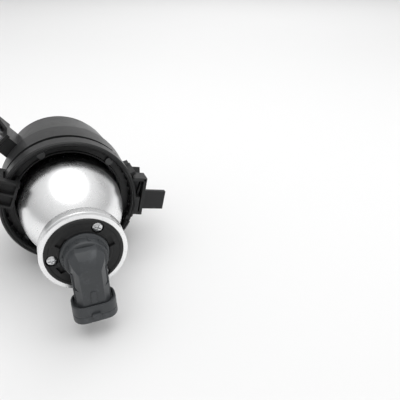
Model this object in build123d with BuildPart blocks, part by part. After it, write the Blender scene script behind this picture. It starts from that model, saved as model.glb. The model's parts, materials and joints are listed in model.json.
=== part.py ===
"""Projector fog light with a rear reflector bowl, a bayonet bulb and an aiming screw.

Millimetres. The optical axis is the Y axis: the beam leaves towards -Y and the bulb is at +Y. +Z is up.
The origin is on the axis at the barrel's front edge.
"""

from build123d import *
import math
import os

os.makedirs("parts", exist_ok=True)

# ---- driving dimensions ----
# barrel and collar of the housing
nose_radius = 39.5
nose_length = 6.0
barrel_front_radius = 40.6
barrel_rear_radius = 43.5
barrel_length = 40.0
seam_width = 0.9
seam_depth = 0.6
collar_radius = 44.5
collar_length = 19.0
groove_radius = 43.0
groove_width = 4.6
shell_wall = 2.9
front_wall = 3.0
nose_wall = 2.4

# retaining ring at the back
rim_radius = 45.0
rim_length = 10.5
rim_wall = 3.6
floor_thickness = 2.5
floor_lip = 1.4
rim_chamfer = 0.8

# reflector
bowl_radius = 33.5
bowl_depth = 43.0
bowl_wall = 2.0
bowl_flange_thickness = 2.4
neck_radius = 15.5
neck_wall = 2.6
neck_reach = 17.2
cup_radius = 24.8
cup_wall = 2.5
cup_floor = 6.5
cup_proud = 1.2

# bulb adapter and bulb
plate_thickness = 5.2
bulb_hole_radius = 12.6
flange_radius = 13.8
flange_recess = 2.4
tab_count = 3
tab_reach = 15.4
tab_width = 6.0
tab_thickness = 2.4
tab_first_angle = 20.0
unlock_angle = 40.0
turret_radius = 12.4
turret_height = 6.3
seal_height = 1.1
glass_radius = 5.4
glass_wall = 0.9
filament_length = 5.0

# two-pin socket under the turret
socket_drop = 33.0
socket_width = 25.0
socket_depth = 16.0
socket_length = 11.0
socket_wall = 1.8
socket_pocket = 9.5
arm_width = 18.0
arm_depth = 13.0
head_width = 19.5
head_top = 9.5
blade_width = 3.0
blade_thickness = 0.8
blade_spacing = 8.0
blade_length = 8.0

# lenses
glass_thickness = 2.6
cover_skirt = 5.0
cover_dome = 9.5
lens_radius = 29.2
lens_edge = 3.0
lens_dome = 10.0
seat_depth = 8.0
seat_thickness = 2.5
seat_width = 2.5

# aiming
pivot_y = 38.0
pivot_radius = 2.5
holder_behind_pivot = 5.0
flange_room = 3.5
lug_room = 0.8
lug_screw_inset = 2.5
bush_wall = 1.06
adjuster_angle = -40.0
adjuster_radius = 37.4
screw_radius = 1.5
knob_radius = 2.3
knob_reach = 5.5

# brackets
side_angle = -13.0
ear_length = 25.0
ear_height = 15.0
ear_thickness = 3.0
pad_thickness = 3.2
pad_height = 14.0
pad_length = 21.0
anchor_offset = 25.0
top_angle = 128.0
web_height = 6.0
web_length = 25.0
web_width = 12.0
foot_thickness = 2.6
plate_height = 21.0
plate_width = 27.0
bracket_plate = 3.2
bracket_hole_spacing = 15.5
bracket_hole_radius = 2.8
bushing_wall = 1.4
latch_angle = 155.0
latch_width = 18.0

# clearances
slip = 0.1
running = 0.06
joint_gap = 0.3
tilt_room = 1.9

# ---- places worked out from the driving dimensions ----
collar_start = barrel_length + seam_width
groove_start = collar_start + collar_length
ring_start = groove_start + groove_width
rim_y = ring_start + rim_length
plate_face = rim_y + bowl_depth + neck_reach
plate_seat = plate_face - plate_thickness
cup_floor_y = plate_seat - cup_floor
cup_edge = plate_face - cup_proud
floor_y = ring_start + floor_thickness
rim_inner = rim_radius - rim_wall
floor_inner = bowl_radius + tilt_room
shell_inner = groove_radius - shell_wall
front_inner = barrel_front_radius - front_wall
lens_bore = nose_radius - nose_wall
seat_inner = lens_bore - seat_width
seat_back = seat_depth + seat_thickness
plate_radius = cup_radius - cup_wall - slip
adapter_circle = (flange_radius + plate_radius) / 2
holder_rear = pivot_y + holder_behind_pivot
flange_outer = shell_inner - flange_room
lug_outer = shell_inner - lug_room
lug_circle = lug_outer - lug_screw_inset
ring_screw_circle = (rim_inner + floor_inner) / 2
ring_screw_angles = (40, 110, 215, 290)
lug_angles = (55, 125, 235, 285)


def polar(angle, radius):
    """X and Z at this angle, counted anticlockwise from -X as seen from behind."""
    turn = math.radians(angle)
    return -radius * math.cos(turn), radius * math.sin(turn)


def radial_plane(angle):
    """Local x points outwards at this angle, local y along the axis, local z round the lamp."""
    turn = math.radians(angle)
    outward = (-math.cos(turn), 0, math.sin(turn))
    around = (-math.sin(turn), 0, -math.cos(turn))
    return Plane(origin=(0, 0, 0), x_dir=outward, z_dir=around)


def side_sheet(angle, radius):
    """A sketch plane facing outwards at this angle: local x along the axis, local y round the lamp."""
    turn = math.radians(angle)
    outward = (-math.cos(turn), 0, math.sin(turn))
    return Plane(origin=tuple(radius * part for part in outward), x_dir=(0, 1, 0), z_dir=outward)


def slab(angle, start, end, points, mode=Mode.ADD):
    """A flat slab standing out from the lamp, from (y, round) points."""
    with BuildSketch(side_sheet(angle, start)) as profile:
        with BuildLine():
            Polyline(*points, close=True)
        make_face()
    extrude(profile.sketch, amount=end - start, mode=mode)


def turned(points, mode=Mode.ADD):
    """A round shape about the optical axis, from (radius, y) points."""
    with BuildSketch(Plane.XY) as profile:
        with BuildLine():
            Polyline(*points, close=True)
        make_face()
    revolve(profile.sketch, axis=Axis.Y, mode=mode)


def tube(inner, outer, start, end, mode=Mode.ADD):
    """A plain ring about the optical axis."""
    turned([(inner, start), (outer, start), (outer, end), (inner, end)], mode)


def rod(place, radius, start, end, mode=Mode.ADD):
    """A round bar along Y at an (x, z) place."""
    centre = (place[0], (start + end) / 2, place[1])
    with Locations(Location(centre, (90, 0, 0))):
        Cylinder(radius, end - start, mode=mode)


def block(x_range, y_range, z_range, mode=Mode.ADD):
    """A box between three pairs of limits, in the current work plane."""
    ranges = (x_range, y_range, z_range)
    centre = tuple((low + high) / 2 for low, high in ranges)
    size = tuple(high - low for low, high in ranges)
    with Locations(centre):
        Box(*size, mode=mode)


def radial_rod(place, radius, start, end, mode=Mode.ADD):
    """A round bar along local x at a local (y, z) place, for use in a radial plane."""
    centre = ((start + end) / 2, place[0], place[1])
    with Locations(Location(centre, (0, 90, 0))):
        Cylinder(radius, end - start, mode=mode)


def clear_of_housing():
    """Cuts away what would lie inside the housing's and the ring's outer faces."""
    turned(
        [
            (0, seam_width),
            (barrel_front_radius, nose_length),
            (barrel_rear_radius, barrel_length),
            (collar_radius, collar_start),
            (collar_radius, groove_start),
            (collar_radius, ring_start),
            (rim_radius, ring_start),
            (rim_radius, rim_y),
            (0, rim_y),
        ],
        Mode.SUBTRACT,
    )


def save(piece, label):
    """Labels a finished piece and writes its file."""
    piece.part.label = label
    export_step(piece.part, f"parts/{label}.step")


# ---- housing ----
ring_screw_head = 2.6
ring_head_height = 1.8
ring_screw_length = 10.0
screw_boss_radius = 3.2
screw_boss_length = 12.5
root = 4.0
pivot_boss_radius = 4.6
pivot_boss_height = 2.2
pivot_boss_face = shell_inner - pivot_boss_height
pivot_pin_inner = pivot_boss_face - 6.4
pivot_pin_seat = 1.0
pivot_pin_outer = shell_inner + pivot_pin_seat
shell_step = pivot_y - 8.0
shell_step_length = 3.0
web_top = collar_radius + web_height
web_back = barrel_length - 1.0
web_front = web_back - web_length
web_screw_inset = 6.5
web_screw_places = (web_front + web_screw_inset, web_back - web_screw_inset)
web_screw_depth = 6.0
rib_width = 5.0
rib_height = 1.1
rib_front = collar_start + 2.0
rib_round = (-20.0, 14.0)
adjuster_place = polar(adjuster_angle, adjuster_radius)

with BuildPart() as housing_barrel:
    turned(
        [
            (lens_bore, 0),
            (nose_radius, 0),
            (nose_radius, nose_length),
            (barrel_front_radius, nose_length),
            (barrel_rear_radius, barrel_length),
            (barrel_rear_radius - seam_depth, barrel_length),
            (barrel_rear_radius - seam_depth, collar_start),
            (collar_radius, collar_start),
            (collar_radius, groove_start),
            (groove_radius, groove_start),
            (groove_radius, ring_start),
            (shell_inner, ring_start),
            (shell_inner, shell_step + shell_step_length),
            (front_inner, shell_step),
            (front_inner, seat_back),
            (seat_inner, seat_back),
            (seat_inner, seat_depth),
            (lens_bore, seat_depth),
        ]
    )
    # bosses for the retaining ring's screws
    for angle in ring_screw_angles:
        place = polar(angle, ring_screw_circle)
        rod(place, screw_boss_radius, ring_start - screw_boss_length, ring_start)
    for angle in ring_screw_angles:
        place = polar(angle, ring_screw_circle)
        rod(place, screw_radius, ring_start - ring_screw_length, ring_start, Mode.SUBTRACT)
    # low rib round the collar beside the side bracket
    with Locations(radial_plane(side_angle).location):
        rib_place = (rib_front, rib_front + rib_width)
        block((collar_radius - shell_wall, collar_radius + root), rib_place, rib_round)
    tube(
        collar_radius + rib_height,
        2 * collar_radius,
        collar_start,
        groove_start,
        Mode.SUBTRACT,
    )
    # raised web under the top bracket
    with Locations(radial_plane(top_angle).location):
        block((front_inner + 1, web_top), (web_front, web_back), (-web_width, 0))
        for y in web_screw_places:
            bore = (web_top - web_screw_depth, web_top)
            radial_rod((y, -web_width / 2), screw_radius, *bore, Mode.SUBTRACT)
    # pivot bosses, one each side
    for side in (-1, 1):
        middle = side * (pivot_boss_face + pivot_pin_outer) / 2
        with Locations(Location((middle, pivot_y, 0), (0, 90, 0))):
            Cylinder(pivot_boss_radius, pivot_pin_outer - pivot_boss_face)
    with Locations(Location((0, pivot_y, 0), (0, 90, 0))):
        Cylinder(pivot_radius, 2 * pivot_pin_outer, mode=Mode.SUBTRACT)
save(housing_barrel, "housing_barrel")

with BuildPart() as pivot_pins:
    for side in (-1, 1):
        middle = side * (pivot_pin_inner + pivot_pin_outer) / 2
        with Locations(Location((middle, pivot_y, 0), (0, 90, 0))):
            Cylinder(pivot_radius, pivot_pin_outer - pivot_pin_inner)
save(pivot_pins, "pivot_pins")

# ---- retaining ring ----
lip_width = 0.8
lip_slope = 0.4

with BuildPart() as rear_ring:
    turned(
        [
            (floor_inner, ring_start),
            (rim_radius - rim_chamfer, ring_start),
            (rim_radius, ring_start + rim_chamfer),
            (rim_radius, rim_y - rim_chamfer),
            (rim_radius - rim_chamfer, rim_y),
            (rim_inner + rim_chamfer, rim_y),
            (rim_inner, rim_y - rim_chamfer),
            (rim_inner, floor_y),
            (floor_inner + lip_width + lip_slope, floor_y),
            (floor_inner + lip_width, floor_y + floor_lip),
            (floor_inner, floor_y + floor_lip),
        ]
    )
    for angle in ring_screw_angles:
        place = polar(angle, ring_screw_circle)
        rod(place, screw_radius + slip, ring_start, floor_y, Mode.SUBTRACT)
        rod(place, ring_screw_head + slip, floor_y, rim_y, Mode.SUBTRACT)
    rod(adjuster_place, screw_radius + running, ring_start, floor_y, Mode.SUBTRACT)
    rod(adjuster_place, knob_radius + joint_gap, floor_y, rim_y, Mode.SUBTRACT)
save(rear_ring, "rear_ring")

with BuildPart() as ring_screws:
    for angle in ring_screw_angles:
        place = polar(angle, ring_screw_circle)
        rod(place, screw_radius, ring_start - ring_screw_length, floor_y)
        rod(place, ring_screw_head, floor_y, floor_y + ring_head_height)
save(ring_screws, "ring_screws")

# ---- side bracket: pad over the ring, ear and two braces ----
bracket_screw_head = 2.5
side_head_height = 1.2
ear_back = rim_y - 10.0
ear_half = ear_height / 2
ear_middle = ear_back - ear_thickness / 2
brace_gap = 7.6
brace_thickness = 2.4
brace_height = 5.5
anchor_length = 11.0
anchor_half = 5.0
anchor_front = rib_front + rib_width
anchor_back = anchor_front + anchor_length
anchor_turn = math.radians(anchor_offset)
anchor_round = -collar_radius * math.sin(anchor_turn)
anchor_inner = collar_radius * math.cos(anchor_turn) - root / 2
anchor_height = 3.4
anchor_inset = 3.0
pad_screw_inset = 3.2
pad_screw_y = rim_y - pad_length + pad_screw_inset
ear_root = rim_radius + pad_thickness
side_plane = radial_plane(side_angle)
anchor_plane = radial_plane(side_angle + anchor_offset)

with BuildPart() as side_bracket:
    with Locations(side_plane.location):
        block(
            (rim_radius - root, ear_root),
            (rim_y - pad_length, rim_y),
            (-pad_height / 2, pad_height / 2),
        )
        block(
            (rim_radius - root, rim_radius + ear_length),
            (ear_back - ear_thickness, ear_back),
            (-ear_half, ear_half),
        )
    with Locations(anchor_plane.location):
        block(
            (collar_radius - root, collar_radius + anchor_height),
            (anchor_front, anchor_back),
            (-anchor_half, anchor_half),
        )
    # two slanted braces from the ear to the anchor
    for step in (0, 1):
        near = -ear_half + step * brace_gap
        far = anchor_round - anchor_inset + step * brace_gap
        corners = [
            (ear_middle, near),
            (ear_middle, near + brace_thickness),
            (anchor_front + anchor_length / 2, far + brace_thickness),
            (anchor_front + anchor_length / 2, far),
        ]
        slab(side_angle, anchor_inner, rim_radius + brace_height, corners)
    clear_of_housing()
    with Locations(side_plane.location):
        radial_rod((pad_screw_y, 0), screw_radius + slip, collar_radius, ear_root, Mode.SUBTRACT)
save(side_bracket, "side_bracket")

with BuildPart() as side_bracket_screw:
    with Locations(side_plane.location):
        radial_rod((pad_screw_y, 0), screw_radius, collar_radius, ear_root)
        radial_rod((pad_screw_y, 0), bracket_screw_head, ear_root, ear_root + side_head_height)
save(side_bracket_screw, "side_bracket_screw")

# ---- ribbed clip over the ring, in the recess beside the bowl ----
clip_inner = floor_inner + 0.1
clip_leg = 2.4
clip_outer = rim_radius + joint_gap + clip_leg
clip_top = rim_y + 5.0
clip_half = latch_width / 2
clip_rib = 1.6
clip_floor = 1.5
clip_gap = 0.3
spike_height = 3.5
spike_turn = 9.0

with BuildPart() as latch_box:
    with Locations(radial_plane(latch_angle).location):
        block((clip_inner, clip_outer), (rim_y, clip_top), (-clip_half, clip_half))
        leg = (floor_y + floor_lip, rim_y)
        block((clip_inner, clip_inner + clip_leg), leg, (-clip_half, clip_half))
        block((rim_radius - clip_leg, clip_outer), (groove_start + clip_gap, rim_y), (-clip_half, clip_half))
        hook = (groove_start + clip_gap, ring_start - slip)
        block((groove_radius, clip_outer), hook, (-clip_half, clip_half))
        # two open pockets with a rib between them
        for side in (-1, 1):
            near, far = sorted((side * clip_rib / 2, side * (clip_half - clip_rib)))
            pocket = (clip_inner + clip_leg, clip_outer - clip_leg)
            block(pocket, (rim_y + clip_floor, clip_top), (near, far), Mode.SUBTRACT)
    # pointed rib standing on the clip's inner leg
    spike_top = clip_top + spike_height
    spike = [(rim_y, -1.0), (spike_top, -0.4), (spike_top, 0.4), (rim_y, 1.0)]
    slab(latch_angle + spike_turn, clip_inner + slip, clip_inner + clip_leg, spike)
    tube(rim_inner - 0.1, rim_radius + slip, ring_start - 0.1, rim_y, Mode.SUBTRACT)
    tube(shell_inner, groove_radius + slip, groove_start, ring_start, Mode.SUBTRACT)
save(latch_box, "latch_box")

# ---- top bracket: foot on the web, gusset and upright plate with two holes ----
top_sheet = radial_plane(top_angle)
foot_top = web_top + foot_thickness
upright_back = web_front
upright_front = web_front - bracket_plate
upright_top = foot_top + plate_height
foot_overhang = 1.0
foot_left = -web_width - foot_overhang
upright_right = foot_overhang
upright_left = upright_right - plate_width
upright_middle = (upright_left + upright_right) / 2
hole_inset = 8.0
hole_round = upright_left + hole_inset
hole_inner = foot_top + 1.5
bracket_holes = (hole_inner, hole_inner + bracket_hole_spacing)
gusset = 8.0
gusset_thickness = 2.0
bushing_radius = bracket_hole_radius + bushing_wall
bushing_proud = 0.3
head_height = 1.6

beyond_top = (upright_top + plate_height, upright_front, upright_middle)

with BuildPart() as top_bracket:
    with Locations(top_sheet.location):
        block((web_top, foot_top), (upright_front, web_back), (foot_left, foot_overhang))
        block((web_top, upright_top), (upright_front, upright_back), (upright_left, upright_right))
        fillet(
            top_bracket.edges()
            .filter_by(Axis.Y)
            .sort_by_distance(top_sheet.from_local_coords(beyond_top))[:2],
            radius=plate_width / 3,
        )
    with BuildSketch(top_sheet.offset(foot_left)) as web_side:
        with BuildLine():
            Polyline(
                (foot_top, upright_back),
                (foot_top + gusset, upright_back),
                (foot_top, upright_back + gusset),
                close=True,
            )
        make_face()
    extrude(web_side.sketch, amount=gusset_thickness)
    with Locations(top_sheet.location):
        for radius in bracket_holes:
            centre = (radius, (upright_front + upright_back) / 2, hole_round)
            with Locations(Location(centre, (90, 0, 0))):
                Cylinder(bushing_radius, bracket_plate * 2, mode=Mode.SUBTRACT)
        for y in web_screw_places:
            radial_rod((y, -web_width / 2), screw_radius + slip, web_top, foot_top, Mode.SUBTRACT)
save(top_bracket, "top_bracket")

with BuildPart() as bracket_bushings:
    with Locations(top_sheet.location):
        for radius in bracket_holes:
            centre = (radius, (upright_front + upright_back) / 2, hole_round)
            with Locations(Location(centre, (90, 0, 0))):
                Cylinder(bushing_radius, bracket_plate + 2 * bushing_proud)
                Cylinder(bracket_hole_radius, bracket_plate * 2, mode=Mode.SUBTRACT)
save(bracket_bushings, "bracket_bushings")

with BuildPart() as bracket_screws:
    with Locations(top_sheet.location):
        for y in web_screw_places:
            radial_rod((y, -web_width / 2), screw_radius, web_top - web_screw_depth + 1, foot_top)
            radial_rod((y, -web_width / 2), bracket_screw_head, foot_top, foot_top + head_height)
save(bracket_screws, "bracket_screws")


# ---- front glass, its seal and the trim cone ----
def bowl_curve(radius, depth, end_radius, steps=6):
    """Points of a half ellipse about the optical axis, from the rim to where it is end_radius wide."""
    last = math.acos(end_radius / radius)
    turns = [last * step / steps for step in range(steps + 1)]
    return [(radius * math.cos(turn), rim_y + depth * math.sin(turn)) for turn in turns]


def dome(edge_radius, height, radius):
    """How far a dome of this height, over this edge radius, has dropped from its top at a radius."""
    sphere = (edge_radius**2 + height**2) / (2 * height)
    return sphere - math.sqrt(sphere**2 - radius**2)


cover_radius = lens_bore - slip
cover_inner = cover_radius - glass_thickness
seal_thickness = 1.4
cover_back = seat_depth - seal_thickness
cover_top = -cover_skirt - cover_dome
cover_half = cover_radius / 2
inner_half = cover_inner / 2
inner_top = cover_top + glass_thickness

with BuildPart() as front_lens:
    with BuildSketch(Plane.XY):
        with BuildLine():
            Line((0, inner_top), (0, cover_top))
            ThreePointArc(
                (0, cover_top),
                (cover_half, cover_top + dome(cover_radius, cover_dome, cover_half)),
                (cover_radius, -cover_skirt),
            )
            Line((cover_radius, -cover_skirt), (cover_radius, cover_back))
            Line((cover_radius, cover_back), (cover_inner, cover_back))
            Line((cover_inner, cover_back), (cover_inner, inner_top + cover_dome))
            ThreePointArc(
                (cover_inner, inner_top + cover_dome),
                (inner_half, inner_top + dome(cover_inner, cover_dome, inner_half)),
                (0, inner_top),
            )
        make_face()
    revolve(axis=Axis.Y)
save(front_lens, "front_lens")

with BuildPart() as lens_seal:
    tube(cover_inner, cover_radius, cover_back, seat_depth)
save(lens_seal, "lens_seal")

shroud_lip = lens_radius + 2.8
shroud_depth = 1.6
shroud_rise = 2.3
shroud_back_rise = 1.0

with BuildPart() as shroud:
    turned(
        [
            (shroud_lip, seat_back - shroud_rise),
            (shroud_lip + 1, seat_back - shroud_rise),
            (seat_inner - 0.2, seat_back),
            (front_inner - slip, seat_back),
            (front_inner - slip, seat_back + shroud_depth),
            (seat_inner - 0.6, seat_back + shroud_depth),
            (shroud_lip, seat_back - shroud_back_rise),
        ]
    )
save(shroud, "shroud")

# ---- lens holder, projector lens and its retainer ----
lens_flat = pivot_y - 15.8
lens_front_edge = lens_flat - lens_edge
retainer_depth = 3.2
holder_front = lens_front_edge - retainer_depth
holder_wall = 2.5
holder_radius = lens_radius + slip + holder_wall
holder_flare = 3.4
holder_cone = holder_radius + holder_flare
lens_ledge = 1.8
flange_thickness = 2.4
flange_front = holder_rear - flange_thickness
shield_seat = 1.2
bush_radius = pivot_radius + running + bush_wall
ear_room = 0.4
ear_outer = pivot_boss_face - ear_room
ear_inner = pivot_pin_inner - 0.6
ear_half_width = 6.0
lug_half = 4.0
nut_inward = 2.6
nut_outward = 2.2
nut_half = 3.0
nut_length = 3.4
thread_room = 0.35

with BuildPart() as lens_holder:
    turned(
        [
            (flange_outer, holder_rear),
            (flange_outer, flange_front),
            (holder_cone, flange_front),
            (holder_radius, lens_flat + 3),
            (holder_radius, holder_front),
            (lens_radius + slip, holder_front),
            (lens_radius + slip, lens_flat),
            (lens_radius - lens_ledge, lens_flat),
            (lens_radius - lens_ledge, lens_flat + 2),
            (holder_cone - holder_wall, flange_front),
            (bowl_radius - bowl_wall, holder_rear - shield_seat),
            (bowl_radius, holder_rear - shield_seat),
            (bowl_radius, holder_rear),
        ]
    )
    for angle in lug_angles:
        with Locations(radial_plane(angle).location):
            block((bowl_radius + 0.5, lug_outer), (flange_front, holder_rear), (-lug_half, lug_half))
        rod(polar(angle, lug_circle), screw_radius, flange_front, holder_rear, Mode.SUBTRACT)
    for side in (-1, 1):
        limits = sorted((side * ear_inner, side * ear_outer))
        block(limits, (2 * pivot_y - holder_rear, holder_rear), (-ear_half_width, ear_half_width))
        with Locations(Location((side * (ear_inner + ear_outer) / 2, pivot_y, 0), (0, 90, 0))):
            Cylinder(bush_radius, ear_outer - ear_inner, mode=Mode.SUBTRACT)
    with Locations(radial_plane(adjuster_angle).location):
        block(
            (adjuster_radius - nut_inward, shell_inner),
            (holder_rear - nut_length, holder_rear),
            (-nut_half, nut_half),
            Mode.SUBTRACT,
        )
    tube(0, bowl_radius, holder_rear - shield_seat, holder_rear, Mode.SUBTRACT)
save(lens_holder, "lens_holder")

with BuildPart() as pivot_bushes:
    for side in (-1, 1):
        with Locations(Location((side * (ear_inner + ear_outer) / 2, pivot_y, 0), (0, 90, 0))):
            Cylinder(bush_radius, ear_outer - ear_inner)
            Cylinder(pivot_radius + running, ear_outer - ear_inner, mode=Mode.SUBTRACT)
save(pivot_bushes, "pivot_bushes")

with BuildPart() as adjuster_nut:
    with Locations(radial_plane(adjuster_angle).location):
        block(
            (adjuster_radius - nut_inward, adjuster_radius + nut_outward),
            (holder_rear - nut_length, holder_rear),
            (-nut_half, nut_half),
        )
    rod(adjuster_place, screw_radius + thread_room, 0, rim_y, Mode.SUBTRACT)
save(adjuster_nut, "adjuster_nut")

lens_top = lens_front_edge - lens_dome
lens_half = lens_radius / 2

with BuildPart() as projector_lens:
    with BuildSketch(Plane.XY):
        with BuildLine():
            Line((0, lens_flat), (0, lens_top))
            ThreePointArc(
                (0, lens_top),
                (lens_half, lens_top + dome(lens_radius, lens_dome, lens_half)),
                (lens_radius, lens_front_edge),
            )
            Line((lens_radius, lens_front_edge), (lens_radius, lens_flat))
            Line((lens_radius, lens_flat), (0, lens_flat))
        make_face()
    revolve(axis=Axis.Y)
save(projector_lens, "projector_lens")

retainer_flange = 1.6
retainer_wall = 0.9
retainer_gap = 0.6

with BuildPart() as lens_retainer:
    turned(
        [
            (lens_radius - retainer_wall, holder_front - retainer_flange),
            (holder_radius, holder_front - retainer_flange),
            (holder_radius, holder_front),
            (lens_radius, holder_front),
            (lens_radius, lens_front_edge - retainer_gap),
            (lens_radius - retainer_wall / 2, lens_front_edge - retainer_gap),
            (lens_radius - retainer_wall, holder_front + retainer_gap),
        ]
    )
save(lens_retainer, "lens_retainer")

# beam cut-off: a plate over the lower half, with a step in its top edge
shield_step = 1.6
shield_edge = -0.2

with BuildPart() as cutoff_shield:
    tube(0, bowl_radius - slip, holder_rear - shield_seat, holder_rear)
    block((-bowl_radius, 0), (0, rim_y), (shield_edge, bowl_radius), Mode.SUBTRACT)
    block((-1, bowl_radius), (0, rim_y), (shield_edge - shield_step, bowl_radius), Mode.SUBTRACT)
save(cutoff_shield, "cutoff_shield")

# ---- reflector bowl with its neck and cup ----
shaft_room = 0.6
neck_start = bowl_curve(bowl_radius, bowl_depth, neck_radius)[-1][1]
inner_radius = bowl_radius - bowl_wall
inner_depth = bowl_depth - bowl_wall
neck_bore = neck_radius - neck_wall
bore_start = bowl_curve(inner_radius, inner_depth, neck_bore)[-1][1]
bowl_flange = holder_rear + bowl_flange_thickness
tab_room = tab_reach + 1.2
tab_clearance = 0.9
tab_floor = plate_seat - tab_thickness - tab_clearance
cup_corner = 1.2
cup_slope = 0.4
cup_edge_bevel = 0.5

with BuildPart() as reflector_bowl:
    with BuildSketch(Plane.XY):
        with BuildLine():
            Spline(*bowl_curve(bowl_radius, bowl_depth, neck_radius))
            Polyline(
                (neck_radius, neck_start),
                (neck_radius, cup_floor_y),
                (cup_radius - cup_corner, cup_floor_y + cup_slope),
                (cup_radius, cup_floor_y + cup_slope + cup_corner),
                (cup_radius, cup_edge - cup_edge_bevel),
                (cup_radius - cup_edge_bevel, cup_edge),
                (cup_radius - cup_wall, cup_edge),
                (cup_radius - cup_wall, plate_seat),
                (tab_room, plate_seat),
                (tab_room, tab_floor),
                (neck_bore, tab_floor),
                (neck_bore, bore_start),
            )
            Spline(*bowl_curve(inner_radius, inner_depth, neck_bore))
            Polyline(
                (inner_radius, rim_y),
                (inner_radius, holder_rear),
                (flange_outer, holder_rear),
                (flange_outer, bowl_flange),
                (bowl_radius, bowl_flange),
                (bowl_radius, rim_y),
            )
        make_face()
    revolve(axis=Axis.Y)
    for angle in lug_angles:
        with Locations(radial_plane(angle).location):
            block((inner_radius + 0.5, lug_outer), (holder_rear, bowl_flange), (-lug_half, lug_half))
        rod(polar(angle, lug_circle), screw_radius + slip, holder_rear, bowl_flange, Mode.SUBTRACT)
    for turn in range(3):
        place = polar(60 + 120 * turn, adapter_circle)
        rod(place, screw_radius, cup_floor_y, plate_seat, Mode.SUBTRACT)
    rod(adjuster_place, screw_radius + shaft_room, holder_rear, bowl_flange, Mode.SUBTRACT)
save(reflector_bowl, "reflector_bowl")

lug_screw_head = 2.2

with BuildPart() as bowl_screws:
    for angle in lug_angles:
        place = polar(angle, lug_circle)
        rod(place, screw_radius, flange_front, bowl_flange)
        rod(place, lug_screw_head, bowl_flange, bowl_flange + head_height)
save(bowl_screws, "bowl_screws")

# ---- bulb adapter plate ----
adapter_angles = (60, 180, 300)
plate_bevel = 0.6
recess_radius = 3.5
recess_depth = 2.0
adapter_head = 3.1
adapter_head_height = 2.3
lip_face = plate_face - flange_recess
recess_slip = 0.4
screw_end_room = 1.5
slot_half_length = 1.8
slot_half_width = 0.35
slot_depth = 1.3
tab_angles = [tab_first_angle + 360 / tab_count * turn for turn in range(tab_count)]

with BuildPart() as adapter_plate:
    turned(
        [
            (bulb_hole_radius, plate_seat),
            (plate_radius, plate_seat),
            (plate_radius, plate_face - plate_bevel),
            (plate_radius - plate_bevel, plate_face),
            (flange_radius + recess_slip, plate_face),
            (flange_radius + recess_slip, lip_face),
            (bulb_hole_radius, lip_face),
        ]
    )
    for angle in adapter_angles:
        place = polar(angle, adapter_circle)
        rod(place, screw_radius + slip, plate_seat, plate_face, Mode.SUBTRACT)
        rod(place, recess_radius, plate_face - recess_depth, plate_face, Mode.SUBTRACT)
    # bayonet slots, met by the bulb's tabs once it has been turned
    slot_half = tab_width / 2 + recess_slip
    for angle in tab_angles:
        with Locations(radial_plane(angle + unlock_angle).location):
            slot_reach = (0, tab_reach + recess_slip)
            block(slot_reach, (plate_seat, lip_face), (-slot_half, slot_half), Mode.SUBTRACT)
save(adapter_plate, "adapter_plate")

with BuildPart() as adapter_screws:
    for angle in adapter_angles:
        place = polar(angle, adapter_circle)
        head_face = plate_face - recess_depth
        rod(place, screw_radius, cup_floor_y + screw_end_room, head_face)
        rod(place, adapter_head, head_face, head_face + adapter_head_height)
    fillet(adapter_screws.edges().group_by(Axis.Y)[-1], 0.8)
    for angle in adapter_angles:
        with Locations(radial_plane(angle).location):
            top = head_face + adapter_head_height
            arms = (slot_half_length, slot_half_width)
            for half_x, half_z in (arms, arms[::-1]):
                along = (adapter_circle - half_x, adapter_circle + half_x)
                block(along, (top - slot_depth, top), (-half_z, half_z), Mode.SUBTRACT)
save(adapter_screws, "adapter_screws")

# ---- bulb: turret with its tabs, seal, glass and filament ----
nose_face = tab_floor - 4.6
turret_start = lip_face + seal_height
bulb_flange_thickness = 2.4
flange_face = turret_start + bulb_flange_thickness
turret_face = flange_face + turret_height
bulb_nose = bulb_hole_radius - 0.8
nose_bevel = 1.4
ferrule_radius = glass_radius + 2.2
ferrule_length = 6.0
pinch_length = 8.0
pinch_start = nose_face - 1.0 - pinch_length
filament_y = rim_y + math.sqrt(inner_depth**2 - inner_radius**2)
glass_front = filament_y - 7.0
grip_count = 8
grip_depth = 1.2
grip_half = 1.2
tip_height = 4.0
wire_radius = 0.45
wire_offset = 2.4
filament_radius = 0.8

with BuildPart() as bulb_base:
    turned(
        [
            (0, nose_face),
            (bulb_nose - nose_bevel, nose_face),
            (bulb_nose, nose_face + nose_bevel),
            (bulb_nose, turret_start),
            (flange_radius, turret_start),
            (flange_radius, flange_face),
            (turret_radius, flange_face + 0.6),
            (turret_radius, turret_face),
            (0, turret_face),
        ]
    )
    for angle in tab_angles:
        with Locations(radial_plane(angle).location):
            tab = (plate_seat - joint_gap - tab_thickness, plate_seat - joint_gap)
            block((bulb_nose - 2, tab_reach), tab, (-tab_width / 2, tab_width / 2))
    # grip slots round the turret
    for turn in range(grip_count):
        with Locations(radial_plane((turn + 0.5) * 360 / grip_count).location):
            groove = (turret_radius - grip_depth, turret_radius + root)
            block(groove, (flange_face + 1.6, turret_face), (-grip_half, grip_half), Mode.SUBTRACT)
save(bulb_base, "bulb_base")

with BuildPart() as bulb_seal:
    tube(bulb_nose + 0.05, flange_radius - 0.2, lip_face, turret_start)
save(bulb_seal, "bulb_seal")

with BuildPart() as bulb_collar:
    tube(glass_radius + 0.1, ferrule_radius, nose_face - ferrule_length, nose_face)
save(bulb_collar, "bulb_collar")

with BuildPart() as bulb_glass:
    tube(0, glass_radius, glass_front, nose_face - 0.05)
    tube(0, glass_radius - glass_wall, glass_front + glass_wall, pinch_start, Mode.SUBTRACT)
save(bulb_glass, "bulb_glass")

with BuildPart() as bulb_cap:
    turned(
        [
            (0, glass_front - tip_height),
            (glass_radius * 0.55, glass_front - tip_height * 0.8),
            (glass_radius * 0.9, glass_front - tip_height * 0.35),
            (glass_radius, glass_front),
            (0, glass_front),
        ]
    )
save(bulb_cap, "bulb_cap")

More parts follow.
